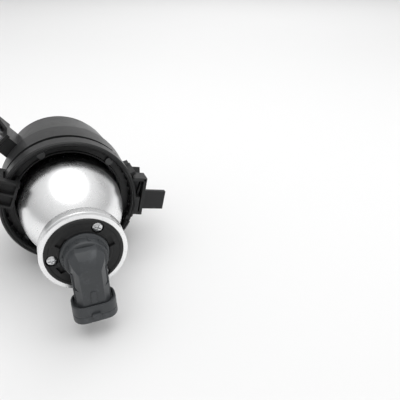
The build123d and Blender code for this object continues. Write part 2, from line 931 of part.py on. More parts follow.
with BuildPart() as bulb_supports:
    for side in (-1, 1):
        end = filament_y - side * filament_length / 2
        rod((0, side * wire_offset), wire_radius, end, pinch_start)
        with Locations((0, end, side * wire_offset / 2)):
            Cylinder(wire_radius, wire_offset)
save(bulb_supports, "bulb_supports")

with BuildPart() as bulb_filament:
    start = filament_y - filament_length / 2 + wire_radius
    rod((0, 0), filament_radius, start, start + filament_length - 2 * wire_radius)
save(bulb_filament, "bulb_filament")

# ---- angled two-pin socket ----
socket_bottom = -socket_drop
socket_top = socket_bottom + socket_length
arm_front = turret_face - 2.0
head_depth = 11.0
head_back = turret_face + head_depth
head_slope = 4.0
head_shoulder = 5.0
chin = 6.0
socket_corner = socket_depth / 2 - 1.5
arm_back = arm_front + arm_depth
socket_middle = (arm_front + arm_back) / 2
socket_limits = (socket_middle - socket_depth / 2, socket_middle + socket_depth / 2)
bevel = 2.6
nub_half = 2.4
nub_height = 1.4
nub_start = 3.0
nub_end = 6.4

with BuildPart() as connector_housing:
    # head over the turret, with a sloping back
    with BuildSketch(Plane.YZ.offset(-head_width / 2)) as side_view:
        with BuildLine():
            Polyline(
                (turret_face, head_top),
                (head_back - head_slope, head_top),
                (head_back, head_top - head_shoulder),
                (head_back, -head_shoulder),
                (arm_back, -head_top - head_slope),
                (arm_back, -head_top - chin),
                (turret_face, -head_top - chin),
                close=True,
            )
        make_face()
    extrude(side_view.sketch, amount=head_width)
    chamfer(connector_housing.edges().filter_by(Axis.Z).group_by(Axis.Y)[-1], bevel)
    chamfer(connector_housing.edges().filter_by(Axis.Y).group_by(Axis.Z)[-1], bevel)
    # arm down to the socket
    arm = (-arm_width / 2, arm_width / 2)
    block(arm, (arm_front, arm_back), (socket_top - 1, -turret_radius - 2 * joint_gap))
    with BuildSketch(Plane.XY.offset(socket_bottom)) as socket_shape:
        with Locations((0, socket_middle)):
            RectangleRounded(socket_width, socket_depth, socket_corner)
    extrude(socket_shape.sketch, amount=socket_length)
    with BuildSketch(Plane.XY.offset(socket_bottom)) as pocket_shape:
        with Locations((0, socket_middle)):
            RectangleRounded(
                socket_width - 2 * socket_wall,
                socket_depth - 2 * socket_wall,
                socket_corner - socket_wall,
            )
    extrude(pocket_shape.sketch, amount=socket_pocket, mode=Mode.SUBTRACT)
    # latch nub on the socket's back
    nub_y = (socket_limits[1] - 0.5, socket_limits[1] + nub_height)
    block((-nub_half, nub_half), nub_y, (socket_bottom + nub_start, socket_bottom + nub_end))
save(connector_housing, "connector_housing")

with BuildPart() as connector_terminals:
    for side in (-1, 1):
        middle = side * blade_spacing / 2
        top = socket_bottom + socket_pocket
        block(
            (middle - blade_width / 2, middle + blade_width / 2),
            (socket_middle - blade_thickness / 2, socket_middle + blade_thickness / 2),
            (top - blade_length, top),
        )
save(connector_terminals, "connector_terminals")

# ---- aiming screw, its knob and snap ring ----
knob_start = floor_y + 0.2
clip_start = ring_start - 1.0
ring_thickness = 0.7
shaft_front = holder_rear - 10.0
knob_bevel = 0.5
knob_slot = 0.9
knob_slot_depth = 1.2

with BuildPart() as adjuster_screw:
    rod(adjuster_place, screw_radius, shaft_front, knob_start)
save(adjuster_screw, "adjuster_screw")

with BuildPart() as adjuster_knob:
    rod(adjuster_place, knob_radius, knob_start, rim_y + knob_reach)
    chamfer(adjuster_knob.edges().group_by(Axis.Y)[-1], knob_bevel)
    # screwdriver slot
    with Locations((adjuster_place[0], rim_y + knob_reach, adjuster_place[1])):
        Box(knob_slot, 2 * knob_slot_depth, 2 * knob_radius + 1, mode=Mode.SUBTRACT)
save(adjuster_knob, "adjuster_knob")

with BuildPart() as adjuster_clip:
    rod(adjuster_place, knob_radius, clip_start, clip_start + ring_thickness)
    rod(adjuster_place, screw_radius, clip_start, clip_start + ring_thickness, Mode.SUBTRACT)
save(adjuster_clip, "adjuster_clip")
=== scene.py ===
import bpy
import bmesh
import json
import math
from mathutils import Matrix, Vector


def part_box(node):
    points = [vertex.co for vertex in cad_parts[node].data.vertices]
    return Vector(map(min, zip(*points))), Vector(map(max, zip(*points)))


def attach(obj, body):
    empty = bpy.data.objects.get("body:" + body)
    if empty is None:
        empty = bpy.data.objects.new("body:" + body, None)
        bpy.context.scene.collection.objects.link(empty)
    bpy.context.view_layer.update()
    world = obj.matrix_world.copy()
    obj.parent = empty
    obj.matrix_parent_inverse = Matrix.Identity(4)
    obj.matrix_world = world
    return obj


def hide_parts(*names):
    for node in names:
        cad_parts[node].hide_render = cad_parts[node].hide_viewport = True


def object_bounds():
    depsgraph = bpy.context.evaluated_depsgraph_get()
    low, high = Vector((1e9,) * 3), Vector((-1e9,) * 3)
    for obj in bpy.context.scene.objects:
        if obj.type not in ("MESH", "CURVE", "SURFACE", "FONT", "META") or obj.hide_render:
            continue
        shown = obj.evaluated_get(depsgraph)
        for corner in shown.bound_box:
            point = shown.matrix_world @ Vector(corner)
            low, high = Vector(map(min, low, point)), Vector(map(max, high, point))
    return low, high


mm = 0.001
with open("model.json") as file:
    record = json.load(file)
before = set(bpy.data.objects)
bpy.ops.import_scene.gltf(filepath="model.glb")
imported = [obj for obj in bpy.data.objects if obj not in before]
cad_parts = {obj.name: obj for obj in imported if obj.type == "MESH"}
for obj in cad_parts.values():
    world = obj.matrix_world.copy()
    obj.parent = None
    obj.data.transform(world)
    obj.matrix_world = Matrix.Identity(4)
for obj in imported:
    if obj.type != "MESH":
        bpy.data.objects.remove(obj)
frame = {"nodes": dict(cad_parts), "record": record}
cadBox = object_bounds()
cadNodes = frame["nodes"]
print("frame loaded:", len(cadNodes), "nodes")

# places in metres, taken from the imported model
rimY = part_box("rear_ring")[1][1]
floorZ = cadBox[0][2]

# shared by several pieces: angles round the lamp in degrees, sizes in millimetres
topAngle = 128
sideAngle = -13
adjusterAngle = -40
adjusterCircle = 37.4
fineSteps = 192


class Wire:
    # one output socket of a node; arithmetic on it adds Math nodes
    def __init__(self, paint, socket):
        self.paint = paint
        self.socket = socket

    def worked(self, operation, first, second):
        return self.paint.node("ShaderNodeMath", {"operation": operation}, {0: first, 1: second})

    def __add__(self, other):
        return self.worked("ADD", self, other)

    def __radd__(self, other):
        return self.worked("ADD", other, self)

    def __sub__(self, other):
        return self.worked("SUBTRACT", self, other)

    def __rsub__(self, other):
        return self.worked("SUBTRACT", other, self)

    def __mul__(self, other):
        return self.worked("MULTIPLY", self, other)

    def __rmul__(self, other):
        return self.worked("MULTIPLY", other, self)

    def between(self, low, high):
        inputs = {"Value": self, "From Min": low, "From Max": high}
        return self.paint.node("ShaderNodeMapRange", {"clamp": True}, inputs)


class Paint:
    # a material with its Principled shader, and one way to add any other node
    def __init__(self, name, **shader):
        self.material = bpy.data.materials.new(name)
        self.material.use_nodes = True
        self.tree = self.material.node_tree
        self.shader = self.tree.nodes["Principled BSDF"]
        for socketName, value in shader.items():
            self.shader.inputs[socketName.replace("_", " ")].default_value = value
        self.place = self.node("ShaderNodeTexCoord", {}, {}, "Object")

    def node(self, kind, settings, inputs, output=0):
        made = self.tree.nodes.new(kind)
        for key, value in settings.items():
            setattr(made, key, value)
        for key, value in inputs.items():
            if isinstance(value, Wire):
                self.tree.links.new(value.socket, made.inputs[key])
            else:
                made.inputs[key].default_value = value
        return Wire(self, made.outputs[output])

    def noise(self, scale, detail=2.0, roughness=0.5, where=None):
        inputs = {"Vector": where or self.place, "Scale": scale, "Detail": detail, "Roughness": roughness}
        return self.node("ShaderNodeTexNoise", {}, inputs, "Fac")

    def mix(self, amount, first, second):
        settings = {"data_type": "RGBA"}
        return self.node("ShaderNodeMix", settings, {0: amount, 6: first, 7: second}, 2)

    def bump(self, height, strength, distance, under=None):
        inputs = {"Height": height, "Strength": strength, "Distance": distance}
        if under:
            inputs["Normal"] = under
        return self.node("ShaderNodeBump", {}, inputs)

    def feed(self, **links):
        for socketName, wire in links.items():
            self.tree.links.new(wire.socket, self.shader.inputs[socketName.replace("_", " ")])
        return self.material


def grey(level, tint=0.0):
    return (level, level * (1 + tint * 0.5), level * (1 + tint), 1.0)


def mouldedPlastic(name, level, roughness, grain=0.35, dust=0.12, tint=0.04):
    # moulded black or grey plastic: fine spark-eroded grain, flow marks, rubbed patches and a little dust
    paint = Paint(name, IOR=1.47, Specular_IOR_Level=0.34)
    flow = paint.noise(28, 3, 0.55)
    fine = paint.noise(2600, 2, 0.6)
    rubs = paint.noise(130, 5, 0.7).between(0.54, 0.74)
    specks = paint.node("ShaderNodeTexVoronoi", {}, {"Vector": paint.place, "Scale": 900.0}, "Distance")
    speckMask = (1 - specks.between(0.03, 0.16)) * paint.noise(60, 2).between(0.5, 0.7)
    base = paint.mix(flow, grey(level * 0.78, tint), grey(level * 1.25, tint))
    rubbed = paint.mix(rubs * 0.5, base, grey(level * 1.9 + 0.01, tint))
    dusty = paint.mix(speckMask * dust, rubbed, grey(0.42))
    shine = roughness + (flow - 0.5) * 0.16 + rubs * 0.12 + speckMask * 0.2
    coarse = paint.bump(flow, 0.12, 0.0006)
    skin = paint.bump(fine, grain, 0.00006, coarse)
    return paint.feed(Base_Color=dusty, Roughness=shine, Normal=skin)


def brightCoating(name, paintedDarkBand):
    # vacuum-coated silver over a pressed bowl: hazy patches, faint draw lines round the axis, and a painted
    # dark band near the ring that stands in for the black ring's reflection in the bowl, with a ragged edge
    # between two places along the axis
    paint = Paint(name, Metallic=1.0)
    split = paint.node("ShaderNodeSeparateXYZ", {}, {"Vector": paint.place}, "Y")
    haze = paint.noise(34, 4, 0.6).between(0.35, 0.75)
    # painted dark reflection: a dark band near the ring with a ragged edge, standing in for the black ring
    # mirrored in the bowl
    ragged = split + (paint.noise(90, 5, 0.7) - 0.5) * 0.008
    paintedDarkMask = 1 - ragged.between(paintedDarkBand[0], paintedDarkBand[1])
    rings = paint.node("ShaderNodeMath", {"operation": "SINE"}, {0: split * 5200})
    wipes = paint.noise(210, 3, 0.65).between(0.55, 0.8)
    tone = paint.mix(haze, grey(0.93, 0.005), grey(0.84, 0.015))
    wiped = paint.mix(wipes * 0.35, tone, grey(0.7, 0.02))
    # mixes the painted dark reflection near the ring into the coating's tone
    wipedWithPaintedDark = paint.mix(paintedDarkMask * 0.93, wiped, grey(0.03))
    shine = 0.24 + haze * 0.09 + wipes * 0.1
    wave = paint.bump(paint.noise(46, 2), 0.18, 0.0005)
    skin = paint.bump(rings, 0.02, 0.00001, wave)
    return paint.feed(Base_Color=wipedWithPaintedDark, Roughness=shine, Normal=skin)


def metal(name, level, roughness, tint=0.02):
    # machined or plated metal: uneven tone and short scratches
    paint = Paint(name, Metallic=1.0)
    patches = paint.noise(190, 4, 0.6)
    stretched = paint.node("ShaderNodeMapping", {}, {"Vector": paint.place, "Scale": (1.0, 9.0, 1.0)})
    lines = paint.noise(2400, 2, 0.5, stretched)
    tone = paint.mix(patches, grey(level * 0.82, tint), grey(min(level * 1.1, 0.95), tint))
    shine = roughness + (patches - 0.5) * 0.2 + (lines - 0.5) * 0.1
    return paint.feed(Base_Color=tone, Roughness=shine, Normal=paint.bump(lines, 0.05, 0.00002))


def castAlloy(name):
    # cloudy grey metal with cast pits
    paint = Paint(name, Metallic=1.0)
    pits = paint.noise(1500, 3, 0.65)
    cloud = paint.noise(70, 3)
    tone = paint.mix(cloud, grey(0.42, 0.03), grey(0.6, 0.03))
    return paint.feed(Base_Color=tone, Roughness=0.42 + pits * 0.2, Normal=paint.bump(pits, 0.4, 0.0001))


def clearGlass(name, tint):
    # pressed clear glass with a very slight haze of dust
    paint = Paint(name, Transmission_Weight=1.0, IOR=1.5, Alpha=1.0)
    film = paint.noise(85, 4, 0.6).between(0.5, 0.8)
    tone = paint.mix(film, tint, grey(0.95))
    skin = paint.bump(paint.noise(30), 0.05, 0.0004)
    return paint.feed(Base_Color=tone, Roughness=0.02 + film * 0.06, Normal=skin)


def softPart(name, color, roughness, scale):
    # rubber or nylon: uneven tone and a fine matt skin
    paint = Paint(name)
    cloud = paint.noise(scale, 3)
    fine = paint.noise(scale * 14, 2)
    darker = tuple(part * 0.8 for part in color[:3]) + (1.0,)
    tone = paint.mix(cloud, darker, color)
    shine = roughness + (fine - 0.5) * 0.15
    return paint.feed(Base_Color=tone, Roughness=shine, Normal=paint.bump(fine, 0.3, 0.00008))


# how far past the ring, along the lamp, the painted dark band that stands in for the ring's black reflection
# begins to fade and is gone
paintedDarkBand = (rimY + 2.5 * mm, rimY + 6.5 * mm)

# each finish goes by its slot's name in the record
finishes = {
    "black_plastic": mouldedPlastic("satinBlack", 0.017, 0.34, grain=0.2),
    "black_trim": mouldedPlastic("mattBlack", 0.014, 0.44, grain=0.5),
    "dark_grey_plastic": mouldedPlastic("socketGrey", 0.05, 0.38, grain=0.25, tint=0.14),
    "bright_reflector": brightCoating("brightSilver", paintedDarkBand),
    "zinc": metal("brightZinc", 0.7, 0.26),
    "steel": metal("plainSteel", 0.5, 0.34),
    "cast_alloy": castAlloy("castAlloy"),
    "clear_glass": clearGlass("clearGlass", (0.96, 0.99, 1.0, 1.0)),
    "seal_rubber": softPart("sealRubber", (0.02, 0.02, 0.021, 1.0), 0.6, 160),
    "nylon": softPart("nylon", (0.74, 0.72, 0.66, 1.0), 0.45, 120),
    "tungsten": metal("drawnTungsten", 0.3, 0.4),
    "brass_blade": metal("tinnedBrass", 0.75, 0.25, tint=-0.35),
}

# these screws are blackened, though their slot is plain steel
darkScrews = ("ring_screws", "side_bracket_screw")
blackened = metal("blackenedSteel", 0.09, 0.42)
slotOf = {part["node"]: part["material_slot"] for part in frame["record"]["subparts"]}
for nodeName, node in cadNodes.items():
    node.data.materials.clear()
    node.data.materials.append(blackened if nodeName in darkScrews else finishes[slotOf[nodeName]])
print("materials made:", len(finishes) + 1)


def turnedFrame(angle):
    # local x points outwards at this angle, local y along the lamp, local z round it
    turn = math.radians(angle)
    outward = Vector((-math.cos(turn), 0, math.sin(turn)))
    around = Vector((-math.sin(turn), 0, -math.cos(turn)))
    return Matrix((outward, Vector((0, 1, 0)), around)).transposed().to_4x4()


def circle(middle, radius, steps=40):
    turns = [2 * math.pi * step / steps for step in range(steps)]
    return [(middle[0] + radius * math.cos(turn), middle[1] + radius * math.sin(turn)) for turn in turns]


class Shape:
    # closed solids, in millimetres, gathered into one mesh
    def __init__(self):
        self.bm = bmesh.new()

    def band(self, near, far):
        steps = max(len(near), len(far))
        for step in range(steps):
            after = (step + 1) % steps
            corners = [near[step % len(near)], near[after % len(near)]]
            corners += [far[after % len(far)], far[step % len(far)]]
            face = list(dict.fromkeys(corners))
            if len(face) > 2:
                self.bm.faces.new(face)

    def loft(self, rings, place=None):
        spot = place or Matrix()
        made = [[self.bm.verts.new(spot @ Vector(point) * mm) for point in ring] for ring in rings]
        for near, far in zip(made, made[1:]):
            self.band(near, far)
        self.bm.faces.new(made[0][::-1])
        self.bm.faces.new(made[-1])

    def prism(self, outline, low, high, place=None):
        self.loft([[(x, y, z) for x, y in outline] for z in (low, high)], place)

    def block(self, xs, ys, zs, place=None):
        outline = [(xs[0], ys[0]), (xs[1], ys[0]), (xs[1], ys[1]), (xs[0], ys[1])]
        self.prism(outline, zs[0], zs[1], place)

    def lathe(self, profile, steps=144):
        rings = []
        for radius, y in profile:
            turns = [2 * math.pi * step / steps for step in range(steps)] if radius > 0 else [0]
            rings.append([
                self.bm.verts.new(Vector((-radius * math.cos(turn), y, radius * math.sin(turn))) * mm)
                for turn in turns
            ])
        for near, far in zip(rings, rings[1:] + rings[:1]):
            self.band(near, far)

    def upright(self, outline, low, high, place=None):
        # a plate square to the lamp's axis, its outline given outwards and round, from y low to y high
        self.loft([[(x, y, z) for x, z in outline] for y in (low, high)], place)

    def facing(self, outline, low, high, place=None):
        # a plate facing outwards, its outline given along the lamp and round it, from x low to x high
        self.loft([[(x, y, z) for y, z in outline] for x in (low, high)], place)

    def rod(self, angle, away, radius, low, high, steps=40):
        self.upright(circle((away, 0), radius, steps), low, high, turnedFrame(angle))

    def thing(self, name):
        bmesh.ops.recalc_face_normals(self.bm, faces=self.bm.faces)
        mesh = bpy.data.meshes.new(name)
        self.bm.to_mesh(mesh)
        self.bm.free()
        made = bpy.data.objects.new(name, mesh)
        bpy.context.scene.collection.objects.link(made)
        return made


def applied(piece):
    view = bpy.context.evaluated_depsgraph_get()
    mesh = bpy.data.meshes.new_from_object(piece.evaluated_get(view))
    piece.modifiers.clear()
    piece.data = mesh
    return piece


def cut(piece, cutter, how="DIFFERENCE"):
    tool = cutter.thing("cutter")
    boolean = piece.modifiers.new("cut", "BOOLEAN")
    boolean.operation = how
    boolean.solver = "EXACT"
    boolean.use_self = True
    boolean.object = tool
    applied(piece)
    bpy.data.objects.remove(tool)
    return piece


def finished(piece, body, slotName, nodes=(), edge=0.3, rows=2, angle=28):
    if edge:
        bevel = piece.modifiers.new("edges", "BEVEL")
        bevel.width = edge * mm
        bevel.segments = rows
        bevel.limit_method = "ANGLE"
        bevel.angle_limit = math.radians(angle)
        bevel.use_clamp_overlap = True
        bevel.miter_outer = "MITER_ARC"
        applied(piece)
    for face in piece.data.polygons:
        face.use_smooth = True
    piece.data.set_sharp_from_angle(angle=math.radians(38))
    weighted = piece.modifiers.new("shading", "WEIGHTED_NORMAL")
    weighted.keep_sharp = True
    applied(piece)
    piece.data.materials.clear()
    piece.data.materials.append(finishes[slotName])
    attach(piece, body)
    if nodes:
        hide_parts(*nodes)
    return piece


def copiesTree():
    # puts copies of one shape at even turns about the lamp's axis
    tree = bpy.data.node_groups.new("copiesRoundAxis", "GeometryNodeTree")
    face = tree.interface
    inputs = {
        "Shape": "NodeSocketObject",
        "Count": "NodeSocketInt",
        "Radius": "NodeSocketFloat",
        "Along": "NodeSocketFloat",
        "First Turn": "NodeSocketFloat",
        "Finish": "NodeSocketMaterial",
    }
    for label, kind in inputs.items():
        face.new_socket(label, in_out="INPUT", socket_type=kind)
    face.new_socket("Geometry", in_out="OUTPUT", socket_type="NodeSocketGeometry")

    def add(kind, links, **settings):
        made = tree.nodes.new(kind)
        for key, value in settings.items():
            setattr(made, key, value)
        for key, value in links.items():
            if isinstance(value, bpy.types.NodeSocket):
                tree.links.new(value, made.inputs[key])
            else:
                made.inputs[key].default_value = value
        return made

    def worked(operation, first, second):
        return add("ShaderNodeMath", {0: first, 1: second}, operation=operation).outputs[0]

    given = add("NodeGroupInput", {}).outputs
    index = add("GeometryNodeInputIndex", {}).outputs[0]
    share = worked("DIVIDE", index, given["Count"])
    turn = worked("ADD", worked("MULTIPLY", share, 2 * math.pi), given["First Turn"])
    across = worked("MULTIPLY", worked("COSINE", turn, 0.0), worked("MULTIPLY", given["Radius"], -1.0))
    up = worked("MULTIPLY", worked("SINE", turn, 0.0), given["Radius"])
    place = add("ShaderNodeCombineXYZ", {0: across, 1: given["Along"], 2: up}).outputs[0]
    spin = add("ShaderNodeCombineXYZ", {1: turn}).outputs[0]
    spots = add("GeometryNodePoints", {"Count": given["Count"], "Position": place}).outputs[0]
    shape = add("GeometryNodeObjectInfo", {"Object": given["Shape"]}).outputs["Geometry"]
    copies = add("GeometryNodeInstanceOnPoints", {"Points": spots, "Instance": shape, "Rotation": spin})
    real = add("GeometryNodeRealizeInstances", {"Geometry": copies.outputs[0]})
    painted = add("GeometryNodeSetMaterial", {"Geometry": real.outputs[0], "Material": given["Finish"]})
    add("NodeGroupOutput", {"Geometry": painted.outputs[0]})
    return tree


copyTree = copiesTree()


def copies(name, shape, body, slotName, count, radius, along, first, nodes=(), edge=0.2, rows=2):
    pattern = shape if isinstance(shape, bpy.types.Object) else shape.thing(name + "_one")
    piece = bpy.data.objects.new(name, bpy.data.meshes.new(name))
    bpy.context.scene.collection.objects.link(piece)
    modifier = piece.modifiers.new("copies", "NODES")
    modifier.node_group = copyTree
    given = {
        "Shape": pattern,
        "Count": count,
        "Radius": radius * mm,
        "Along": along * mm,
        "First Turn": math.radians(first),
        "Finish": finishes[slotName],
    }
    for item in copyTree.interface.items_tree:
        if item.in_out == "INPUT":
            modifier[item.identifier] = given[item.name]
    applied(piece)
    bpy.data.objects.remove(pattern)
    return finished(piece, body, slotName, nodes, edge, rows)


def arc(radius, depth, start, low, steps=40):
    # a half ellipse about the axis, from its mouth to where it is low wide
    last = math.acos(low / radius)
    turns = [last * step / steps for step in range(steps + 1)]
    return [(radius * math.cos(turn), start + depth * math.sin(turn)) for turn in turns]


def roundedBox(width, depth, corner, middle=(0, 0), steps=8):
    outline = []
    for side, (signX, signY) in enumerate(((1, 1), (-1, 1), (-1, -1), (1, -1))):
        centre = (middle[0] + signX * (width / 2 - corner), middle[1] + signY * (depth / 2 - corner))
        for step in range(steps + 1):
            turn = math.radians(90 * side + 90 * step / steps)
            outline.append((centre[0] + corner * math.cos(turn), centre[1] + corner * math.sin(turn)))
    return outline


def chamfered(xs, ys, corner):
    (left, right), (low, high) = xs, ys
    return [
        (left + corner, low), (right - corner, low), (right, low + corner), (right, high - corner),
        (right - corner, high), (left + corner, high), (left, high - corner), (left, low + corner),
    ]


# the lathed pieces are outlines of radius and place along the axis, in millimetres
bowl = {
    "mouth": 33.5, "wall": 2.0, "depth": 43.0, "neck": 15.5, "bore": 12.9, "flange": 36.6, "flangeDepth": 2.4,
    "plateRoom": 2.6, "cupWall": 2.5, "cupFloor": 6.5, "tabRoom": 16.6, "tabDepth": 3.3,
    "screwHole": 2.2, "steps": 56,
}
mouthY = rimY / mm
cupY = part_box("reflector_bowl")[1][1] / mm
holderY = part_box("reflector_bowl")[0][1] / mm
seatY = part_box("adapter_plate")[0][1] / mm
cupRadius = (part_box("adapter_plate")[1][0] + bowl["plateRoom"] * mm) / mm
neckY = arc(bowl["mouth"], bowl["depth"], mouthY, bowl["neck"])[-1][1]
cupStart = seatY - bowl["cupFloor"]
insideMouth = bowl["mouth"] - bowl["wall"]
outer = arc(bowl["mouth"], bowl["depth"], mouthY, bowl["neck"] + 0.6, bowl["steps"])
inner = arc(insideMouth, bowl["depth"] - bowl["wall"], mouthY, bowl["bore"], bowl["steps"])
neckAndCup = [
    (bowl["neck"], neckY + 1.5),
    (bowl["neck"], cupStart - 2.4),
    (bowl["neck"] + 0.5, cupStart - 1.0),
    (bowl["neck"] + 1.8, cupStart - 0.2),
    (cupRadius - 3.0, cupStart),
    (cupRadius - 1.2, cupStart + 0.4),
    (cupRadius - 0.3, cupStart + 1.1),
    (cupRadius, cupStart + 2.0),
    (cupRadius, cupY - 3.4),
    (cupRadius - 0.35, cupY - 3.1),
    (cupRadius - 0.35, cupY - 2.7),
    (cupRadius, cupY - 2.4),
    (cupRadius, cupY),
    (cupRadius - bowl["cupWall"], cupY),
    (cupRadius - bowl["cupWall"], seatY),
    (bowl["tabRoom"], seatY),
    (bowl["tabRoom"], seatY - bowl["tabDepth"]),
    (bowl["bore"], seatY - bowl["tabDepth"]),
]
mouthFlange = [
    (insideMouth, holderY),
    (bowl["flange"], holderY),
    (bowl["flange"], holderY + bowl["flangeDepth"]),
    (bowl["mouth"], holderY + bowl["flangeDepth"]),
]
bowlShape = Shape()
bowlShape.lathe(outer + neckAndCup + inner[::-1] + mouthFlange, fineSteps)
shaftHole = Shape()
shaftHole.rod(adjusterAngle, adjusterCircle, bowl["screwHole"], holderY - 2, holderY + 5)
bowlPiece = cut(bowlShape.thing("bowl"), shaftHole)
finished(bowlPiece, "projector", "bright_reflector", ["reflector_bowl"], 0.35, 3)
print("bowl made")

# a block below is its reach outwards, along the lamp and round it, before it is turned to its angle
barrel = {
    "profile": [
        (37.1, 0), (39.5, 0), (39.5, 6), (40.6, 6), (43.5, 40), (42.9, 40), (42.9, 40.9), (44.5, 40.9),
        (44.5, 59.9), (43, 59.9), (43, 64.5),
        (40.1, 64.5), (40.1, 33), (37.6, 30), (37.6, 10.5), (34.6, 10.5), (34.6, 8), (37.1, 8),
    ],
    "web": ((41, 50.5), (14, 39), (-12, 0)),
    "bridge": ((42, 44.75), (58.5, 66.0), (-0.9, 0.9)),
    "bridgeAngles": (-34, -39, 40, 200, 255),
    "sidePad": ((43, 45.6), (42.9, 47.9), (-12, 12)),
    "dimple": {"angle": -22, "along": 21, "radius": 8, "reach": (41.2, 50), "steps": 48},
}
barrelShape = Shape()
barrelShape.lathe(barrel["profile"], fineSteps)
barrelShape.block(*barrel["web"], turnedFrame(topAngle))
for bridgeAngle in barrel["bridgeAngles"]:
    barrelShape.block(*barrel["bridge"], turnedFrame(bridgeAngle))
barrelShape.block(*barrel["sidePad"], turnedFrame(sideAngle))
dent = barrel["dimple"]
dimple = Shape()
dimpleOutline = circle((dent["along"], 0), dent["radius"], dent["steps"])
dimple.facing(dimpleOutline, *dent["reach"], turnedFrame(dent["angle"]))
finished(cut(barrelShape.thing("barrel"), dimple), "housing", "black_plastic", ["housing_barrel"], 0.35, 3)

ring = {
    "profile": [
        (35.4, 64.5), (44.2, 64.5), (45, 65.3), (45, 74.2),
        (44.2, 75), (43.4, 75), (43.0, 74.4), (42.3, 74.4), (41.4, 73.6), (41.4, 67), (36.6, 67),
        (36.2, 68.4), (35.4, 68.4),
    ],
    "knobHole": (2.75, 67.001, 76),
    "screwHole": (1.75, 60, 68),
    "notch": ((40, 47), (72.6, 77), (-2.2, 2.2)),
    "notchAngle": 332,
    "rib": ((-1.1, 0.1), (0, 4.8), (-0.45, 0.45)),
    "ribs": 40, "ribCircle": 41.45, "ribFoot": 66.9, "firstRib": 4.5,
}
ringShape = Shape()
ringShape.lathe(ring["profile"], fineSteps)
ringCuts = Shape()
ringCuts.rod(adjusterAngle, adjusterCircle, *ring["knobHole"])
ringCuts.rod(adjusterAngle, adjusterCircle, *ring["screwHole"])
ringCuts.block(*ring["notch"], turnedFrame(ring["notchAngle"]))
finished(cut(ringShape.thing("ring"), ringCuts), "housing", "black_plastic", ["rear_ring"], 0.25, 2)
rib = Shape()
rib.block(*ring["rib"], turnedFrame(0))
ribPlace = (ring["ribs"], ring["ribCircle"], ring["ribFoot"], ring["firstRib"])
copies("ring_ribs", rib, "housing", "black_plastic", *ribPlace, (), 0.15)
print("barrel and ring made")

plate = {
    "profile": [
        (12.6, 130), (22.2, 130), (22.2, 134.5), (21.9, 135.0), (21.4, 135.2), (20.2, 135.2), (19.9, 135.0),
        (15.6, 135.0), (15.3, 135.2), (14.2, 135.2), (14.2, 132.8), (12.6, 132.8),
    ],
    "slotHalves": {18: 3.4, 138: 3.4, 207: 2.6, 258: 3.4},
    "slot": ((13.5, 17.4), (133.4, 137)),
    "screwAngles": (60, 180, 300), "screwCircle": 18.0,
    "recess": (3.5, 133.2, 137),
    "steps": 144,
}
plateShape = Shape()
plateShape.lathe(plate["profile"], plate["steps"])
plateCuts = Shape()
for screwAngle in plate["screwAngles"]:
    plateCuts.rod(screwAngle, plate["screwCircle"], *plate["recess"])
for slotAngle, half in plate["slotHalves"].items():
    plateCuts.block(*plate["slot"], (-half, half), turnedFrame(slotAngle))
finished(cut(plateShape.thing("plate"), plateCuts), "projector", "black_trim", ["adapter_plate"], 0.25, 2)

screw = {
    "profile": [(0, 0), (3.1, 0), (3.1, 0.9), (2.9, 1.45), (2.4, 1.9), (1.6, 2.2), (0, 2.3)],
    "arm": (-2.0, 2.0), "slit": (-0.36, 0.36), "depth": (0.9, 3), "steps": 48,
}
screwShape = Shape()
screwShape.lathe(screw["profile"], screw["steps"])
cross = Shape()
cross.block(screw["arm"], screw["depth"], screw["slit"])
cross.block(screw["slit"], screw["depth"], screw["arm"])
screwHead = cut(screwShape.thing("screw_one"), cross)
screwPlace = (len(plate["screwAngles"]), plate["screwCircle"], plate["recess"][1], plate["screwAngles"][0])
copies("plate_screws", screwHead, "projector", "zinc", *screwPlace, ["adapter_screws"], 0.1)

turret = {
    "profile": [
        (0, 122.1), (10.4, 122.1), (11.8, 123.5), (11.8, 133.9), (13.8, 133.9), (13.8, 135.9), (13.2, 136.5),
        (12.4, 136.9), (12.3, 140.6), (11.6, 142.0), (10.4, 142.6), (0, 142.6),
    ],
    "tab": ((9.8, 15.4), (127.3, 129.7), (-3, 3)),
    "tabAngles": (20, 140, 260),
    "grip": ((-0.5, 0.55), (0, 3.8), (-0.8, 0.8)),
    "grips": 12, "gripCircle": 12.2, "gripFoot": 137.0, "firstGrip": 15,
    "steps": 120,
}
turretShape = Shape()
turretShape.lathe(turret["profile"], turret["steps"])
for tabAngle in turret["tabAngles"]:
    turretShape.block(*turret["tab"], turnedFrame(tabAngle))
finished(turretShape.thing("turret"), "bulb", "dark_grey_plastic", ["bulb_base"], 0.3, 2)
grip = Shape()
grip.block(*turret["grip"], turnedFrame(0))
gripPlace = (turret["grips"], turret["gripCircle"], turret["gripFoot"], turret["firstGrip"])
copies("turret_grips", grip, "bulb", "dark_grey_plastic", *gripPlace, (), 0.2)
print("plate, screws and turret made")

